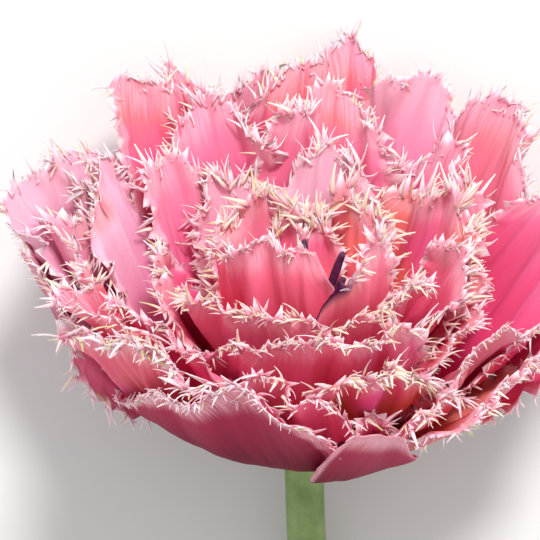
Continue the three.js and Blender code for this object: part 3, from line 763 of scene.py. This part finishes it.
# Stem, receptacle, pistil and stamens, in mm; profiles are (radius, height) up the bloom's axis
stem = {
    "radius": 4.1, "sides": 40, "flatSides": 14, "steps": 60,
    "overlap": 0.9, "top": 3.4, "topWiden": 1.25,    # where it meets the receptacle
    "rest": 36, "restSteps": 12, "drift": 9,         # the stretch on the table, and its drift to one side
}
receptacle = {"sides": 40, "profile": [(4.6, -0.6), (8.9, -0.1), (4.5, 12.3)]}
pistil = {
    "profile": [(1.7, 12.6), (2.3, 14), (2.5, 18), (2.1, 21), (2.3, 22.6), (3.1, 24.4), (2.2, 25.6)],
    "sides": 48, "lobes": 3, "lobeHeight": 0.32, "lobesFrom": 22,
}
stamen = {
    "count": 6, "turn": 30, "radius": 3.7, "foot": 12.6, "length": 20, "lean": 5.4, "leanRamp": 1.6,
    "filament": 0.6, "anther": 1.1, "antherFrom": 0.42, "antherTop": 0.96,
    "tipFrom": 0.95, "tipLength": 0.05, "tipEnd": 0.04,
    "furrow": 0.22, "furrowWidth": 0.35, "furrowFrom": 0.46, "sides": 20, "steps": 44,
}

def closedLoft(name, points, first, last):
    rows, sides = points.shape[:2]
    index = np.arange(rows * sides).reshape(rows, sides)
    following = np.roll(index, -1, axis=1)
    faces = np.stack([index[:-1], following[:-1], following[1:], index[1:]], -1).reshape(-1, 4).tolist()
    for k in range(sides):
        faces.append([rows * sides, int(following[0, k]), int(index[0, k])])
        faces.append([rows * sides + 1, int(index[-1, k]), int(following[-1, k])])
    mesh = bpy.data.meshes.new(name)
    mesh.from_pydata((np.concatenate([points.reshape(-1, 3), [first], [last]]) * mm).tolist(), [], faces)
    mesh.update()
    return mesh

def tubeMesh(name, centres, radii, sides, furrow=None):
    centres = np.array(centres, dtype=float)
    tangent = unit(np.gradient(centres, axis=0))
    across = unit(np.cross(tangent, np.array([0.0, 0.0, 1.0])))
    up = np.cross(tangent, across)
    angle = 2 * np.pi * np.arange(sides) / sides
    swell = 1 if furrow is None else furrow(len(centres), angle)
    r = np.array(radii)[:, None] * np.ones((1, sides)) * swell
    points = (centres[:, None] + across[:, None] * (r * np.cos(angle))[..., None]
              + up[:, None] * (r * np.sin(angle))[..., None])
    points[..., 2] = np.maximum(points[..., 2], 0)
    return closedLoft(name, points, centres[0], centres[-1])

def axisPoint(height):
    return layDown(np.zeros(1), np.zeros(1), np.array([float(height)]))[0]

def turnedMesh(name, profile, sides, widen=None):
    angle = 2 * np.pi * np.arange(sides) / sides
    rings = []
    for radius, height in profile:
        r = radius * (1 if widen is None else widen(angle, height))
        rings.append(layDown(r * np.cos(angle), r * np.sin(angle), np.full(sides, float(height))))
    return closedLoft(name, np.array(rings), axisPoint(profile[0][1]), axisPoint(profile[-1][1]))

def stemPath():
    rise = math.radians(lying["axisRise"])
    start, top = axisPoint(-stem["overlap"]), axisPoint(-stem["overlap"] - stem["top"])
    rest = stem["radius"] * math.cos(math.pi / stem["flatSides"])
    bend = (top[2] - rest) / (1 - math.cos(rise))
    centres = [start]
    for k in range(stem["steps"] + 1):
        angle = rise - rise * k / stem["steps"]
        centres.append(np.array([0, top[1] - bend * (math.sin(rise) - math.sin(angle)),
                                 top[2] - bend * (math.cos(angle) - math.cos(rise))]))
    down = centres[-1]
    for k in range(1, stem["restSteps"] + 1):
        centres.append(np.array([0, down[1] - stem["rest"] * k / stem["restSteps"], rest]))
    length = top[1] - centres[-1][1]
    for point in centres:
        point[0] = stem["drift"] * max(0, (top[1] - point[1]) / length) ** 2
    return centres

def stamenMesh(name, azimuth):
    centres, radii = [], []
    for k in range(stamen["steps"] + 1):
        share = k / stamen["steps"]
        r = stamen["radius"] + stamen["lean"] * share ** stamen["leanRamp"]
        centres.append(layDown(np.array([r * math.cos(azimuth)]), np.array([r * math.sin(azimuth)]),
                               np.array([stamen["foot"] + stamen["length"] * share]))[0])
        along = max(0, (share - stamen["antherFrom"]) / (1 - stamen["antherFrom"]))
        swell = math.sin(math.pi * min(along, stamen["antherTop"])) ** 0.5
        pastTip = max(0, (share - stamen["tipFrom"]) / stamen["tipLength"])
        rounded = math.sqrt(max(stamen["tipEnd"], 1 - pastTip ** 2))
        radii.append((stamen["filament"] + (stamen["anther"] - stamen["filament"]) * swell) * rounded)

    def furrow(rows, angle):
        onAnther = np.linspace(0, 1, rows)[:, None] > stamen["furrowFrom"]
        return 1 - stamen["furrow"] * (np.abs(np.sin(angle))[None] < stamen["furrowWidth"]) * onAnther
    return tubeMesh(name, centres, radii, stamen["sides"], furrow)

def finishPiece(obj, node, material=None):
    if material is not None:
        obj.data.materials.clear()
        obj.data.materials.append(material)
        obj.data.polygons.foreach_set("use_smooth", [True] * len(obj.data.polygons))
    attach(obj, "root")
    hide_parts(node)

# Steps of the seeds from whorl to whorl
seeds = {"streaks": 3.7, "blade": 100, "fringe": 50}

def makePetals():
    tree = fringeTree()
    total = 0
    for w, (whorl, (ring, petals)) in enumerate(whorls.items()):
        finish = {**petalFinish, **whorlFinish[whorl]}
        material = petalMaterial("petal" + whorl.capitalize(), finish, seeds["streaks"] * w)
        for k, petal in enumerate(petals):
            node = f"petal_{whorl}_{k + 1}"
            look = {**usualLook, **looks.get(node, {})}
            foot = ring + (-bowls["sublayer"] if k % 2 else bowls["sublayer"])
            dice = np.random.default_rng(seeds["blade"] * w + k)
            obj = newObject(f"{whorl}Petal{k + 1}", petalBlade(node, petal, foot, look, dice))
            slim = 1 - fringe["slimming"] + fringe["slimming"] * look["fringe"]
            growFringe(obj, tree, {
                "Seed": seeds["fringe"] * w + k, "Material": material,
                "Tooth length": fringe["length"] * look["fringe"] * mm,
                "Tooth width": fringe["width"] * slim * mm})
            finishPiece(obj, node)
            total += sum(len(p.vertices) - 2 for p in obj.data.polygons)
        print("petals:", whorl, total, "triangles so far")

def makeCentre():
    stalk, purple = plainMaterial("stemGreen"), plainMaterial("antherPurple")

    def widen(angle, height):
        return 1 + pistil["lobeHeight"] * np.cos(pistil["lobes"] * angle) * (height > pistil["lobesFrom"])
    mesh = turnedMesh("pistilBody", pistil["profile"], pistil["sides"], widen)
    finishPiece(newObject("pistilBody", mesh), "pistil", plainMaterial("pistilGreen"))
    mesh = turnedMesh("receptacleBody", receptacle["profile"], receptacle["sides"])
    finishPiece(newObject("receptacleBody", mesh), "receptacle", stalk)
    for k in range(stamen["count"]):
        azimuth = math.radians(stamen["turn"]) + 2 * math.pi * k / stamen["count"]
        name = f"stamenBody{k + 1}"
        finishPiece(newObject(name, stamenMesh(name, azimuth)), f"stamen_{k + 1}", purple)
    path = stemPath()
    widths = [stem["radius"]] * len(path)
    widths[0] *= stem["topWiden"]
    mesh = tubeMesh("stemBody", path, widths, stem["sides"])
    finishPiece(newObject("stemBody", mesh), "stem", stalk)
    print("centre and stem")

# Table, light and camera
table = {"side": 4.0, "colour": (0.8, 0.8, 0.8, 1), "rough": 0.8}
lights = {
    "key": {"way": (0.15, 0.55, 0.75), "energy": 2.55, "angle": 14, "colour": (1, 0.98, 0.96)},
    "sky": {"colour": (1, 1, 1, 1), "strength": 0.70},
}
# in mm; span is the width that the camera sees
camera = {"centre": (-7, -17.4, 50), "height": 760, "span": 108, "sensor": 36}

def makeStage():
    bpy.ops.mesh.primitive_plane_add(size=table["side"])
    top = bpy.context.active_object
    top.name = "tableTop"
    material, tree, shader = startMaterial("tablePale")
    fillInputs(tree, shader, {"Base Color": table["colour"], "Roughness": table["rough"]})
    top.data.materials.append(material)

def makeLights():
    data = bpy.data.lights.new("key", "SUN")
    data.energy = lights["key"]["energy"]
    data.color = lights["key"]["colour"]
    data.angle = math.radians(lights["key"]["angle"])
    key = newObject("key", data)
    key.location = lights["key"]["way"]
    key.rotation_euler = (-key.location).to_track_quat("-Z", "Y").to_euler()
    world = bpy.data.worlds.new("studio")
    world.use_nodes = True
    background = world.node_tree.nodes["Background"]
    background.inputs[0].default_value = lights["sky"]["colour"]
    background.inputs[1].default_value = lights["sky"]["strength"]
    bpy.context.scene.world = world
    bpy.context.scene.view_settings.view_transform = "Standard"
    print("table and lights")

def makeCamera():
    x, y, z = camera["centre"]
    data = bpy.data.cameras.new("camera")
    data.sensor_width = camera["sensor"]
    data.lens = camera["sensor"] * (camera["height"] - z) / camera["span"]
    view = newObject("camera", data)
    view.location = Vector((x, y, camera["height"])) * mm
    bpy.context.scene.camera = view
    print("camera")

makeStage()
makeLights()
makeCamera()
makePetals()
makeCentre()
